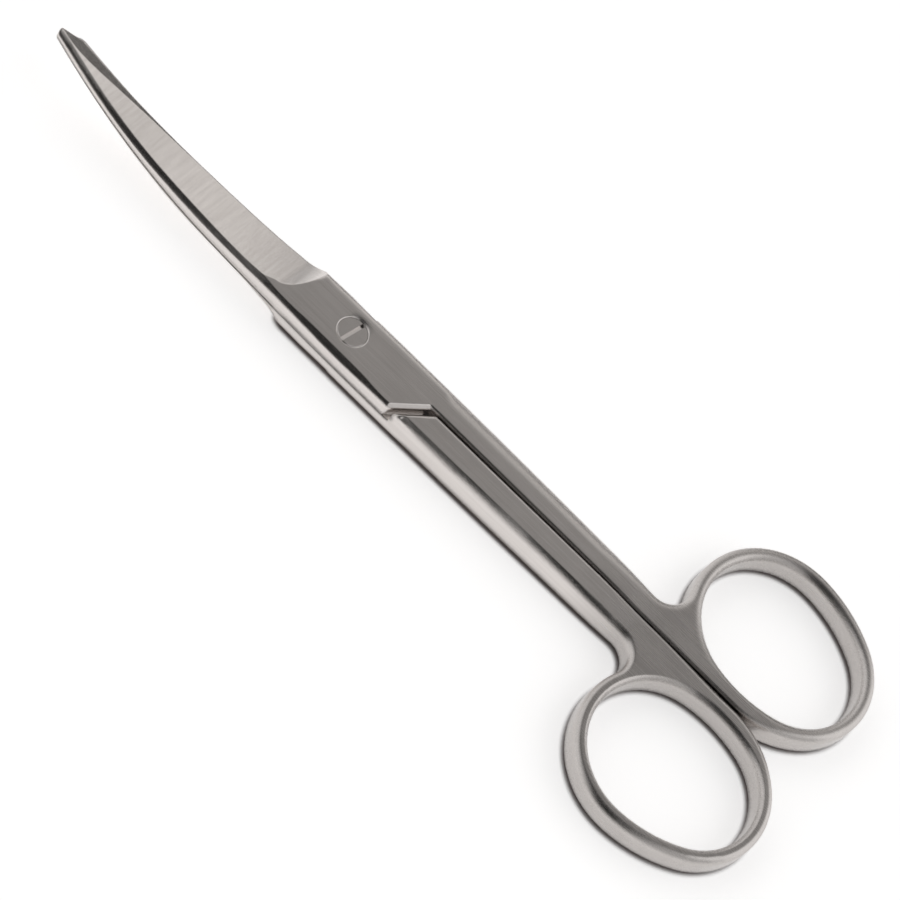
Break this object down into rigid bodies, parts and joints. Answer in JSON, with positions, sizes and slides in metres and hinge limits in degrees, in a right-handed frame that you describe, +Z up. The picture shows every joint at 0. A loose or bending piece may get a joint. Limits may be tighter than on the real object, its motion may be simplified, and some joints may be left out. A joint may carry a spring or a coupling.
{
  "type": "operating scissors",
  "caption": "Surgical operating scissors with finger rings and upward-curved blunt blades, hinged on a slotted pivot screw.",
  "frame": {"origin": "on the pivot screw's axis, at the level of the flat underside", "axes": "+X from the pivot to the tips, +Y to the left seen from above, +Z up, the side the blades curve to"},
  "size_m": [0.1444, 0.0538, 0.0094],
  "materials": {
    "upper_half": "satin",
    "lower_half": "satin",
    "pivot_screw": "satin"
  },
  "bodies": {
    "lower": {"lower_half": "lower_half", "pivot_screw": "pivot_screw"},
    "upper": {"upper_half": "upper_half"}
  },
  "joints": [
    {"name": "pivot", "type": "hinge", "parent": "lower", "child": "upper", "pos_m": [0, 0, 0.0025], "axis": [0, 0, 1], "range_deg": [0, 90]}
  ]
}
